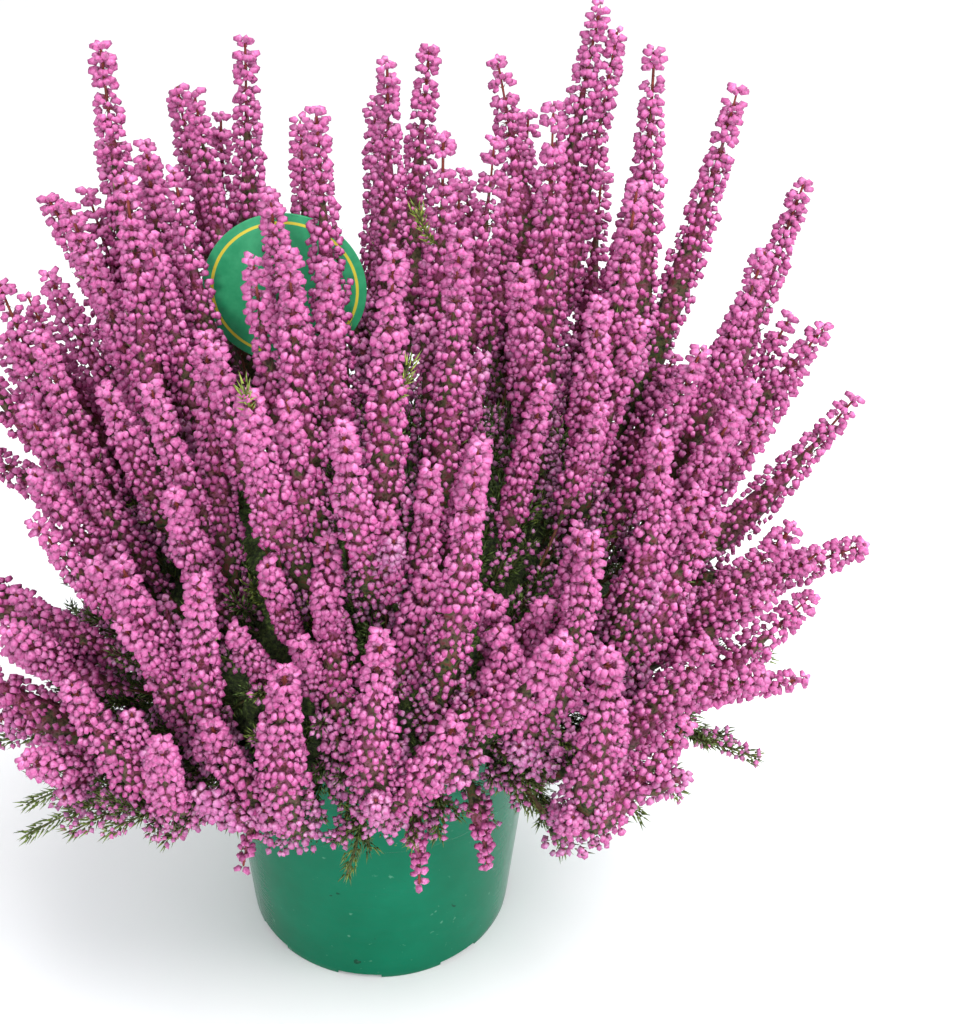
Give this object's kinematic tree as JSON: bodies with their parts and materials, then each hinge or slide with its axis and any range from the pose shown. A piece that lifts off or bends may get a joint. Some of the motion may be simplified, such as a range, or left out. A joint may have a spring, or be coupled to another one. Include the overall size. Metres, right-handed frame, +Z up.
{
  "type": "potted cape heath",
  "caption": "Bushy cape heath with upright spikes of small pink bell flowers and fine needle leaves, growing in a tapered round plastic nursery pot with a plain round label on a stake.",
  "frame": {"origin": "middle of the pot's underside, at the height of the surface it stands on", "axes": "+Z up along the pot's axis, -Y towards the front of the plant, +X to the right seen from the front"},
  "size_m": [0.338, 0.2449, 0.3651],
  "materials": {
    "pot_green": "semi-gloss moulded green plastic with fine scuffs",
    "compost": "dark moist crumbly peat compost",
    "label_green": "smooth printed green plastic sheet with a thin yellow ring",
    "heath_green": "brown woody stems with fine dark green needle leaves",
    "heath_pink": "waxy pink bell flowers with darker pink mouths and red-brown stalks"
  },
  "bodies": {
    "root": {"pot": "pot_green", "compost": "compost", "label": "label_green", "leafy_branches": "heath_green", "flower_spray_01": "heath_pink", "flower_spray_02": "heath_pink", "flower_spray_03": "heath_pink", "flower_spray_04": "heath_pink", "flower_spray_05": "heath_pink", "flower_spray_06": "heath_pink", "flower_spray_07": "heath_pink", "flower_spray_08": "heath_pink", "flower_spray_09": "heath_pink", "flower_spray_10": "heath_pink", "flower_spray_11": "heath_pink", "flower_spray_12": "heath_pink", "flower_spray_13": "heath_pink", "flower_spray_14": "heath_pink", "flower_spray_15": "heath_pink", "flower_spray_16": "heath_pink", "flower_spray_17": "heath_pink", "flower_spray_18": "heath_pink", "flower_spray_19": "heath_pink", "flower_spray_20": "heath_pink", "flower_spray_21": "heath_pink", "flower_spray_22": "heath_pink", "flower_spray_23": "heath_pink", "flower_spray_24": "heath_pink", "flower_spray_25": "heath_pink", "flower_spray_26": "heath_pink", "flower_spray_27": "heath_pink", "flower_spray_28": "heath_pink", "flower_spray_29": "heath_pink", "flower_spray_30": "heath_pink", "flower_spray_31": "heath_pink", "flower_spray_32": "heath_pink", "flower_spray_33": "heath_pink", "flower_spray_34": "heath_pink", "flower_spray_35": "heath_pink", "flower_spray_36": "heath_pink", "flower_spray_37": "heath_pink", "flower_spray_38": "heath_pink", "flower_spray_39": "heath_pink", "flower_spray_40": "heath_pink", "flower_spray_41": "heath_pink", "flower_spray_42": "heath_pink", "flower_spray_43": "heath_pink", "flower_spray_44": "heath_pink", "flower_spray_45": "heath_pink", "flower_spray_46": "heath_pink", "rim_tuft_01": "heath_pink", "rim_tuft_02": "heath_pink", "rim_tuft_03": "heath_pink", "rim_tuft_04": "heath_pink", "rim_tuft_05": "heath_pink", "rim_tuft_06": "heath_pink", "rim_tuft_07": "heath_pink", "rim_tuft_08": "heath_pink", "rim_tuft_09": "heath_pink", "rim_tuft_10": "heath_pink"}
  },
  "joints": []
}
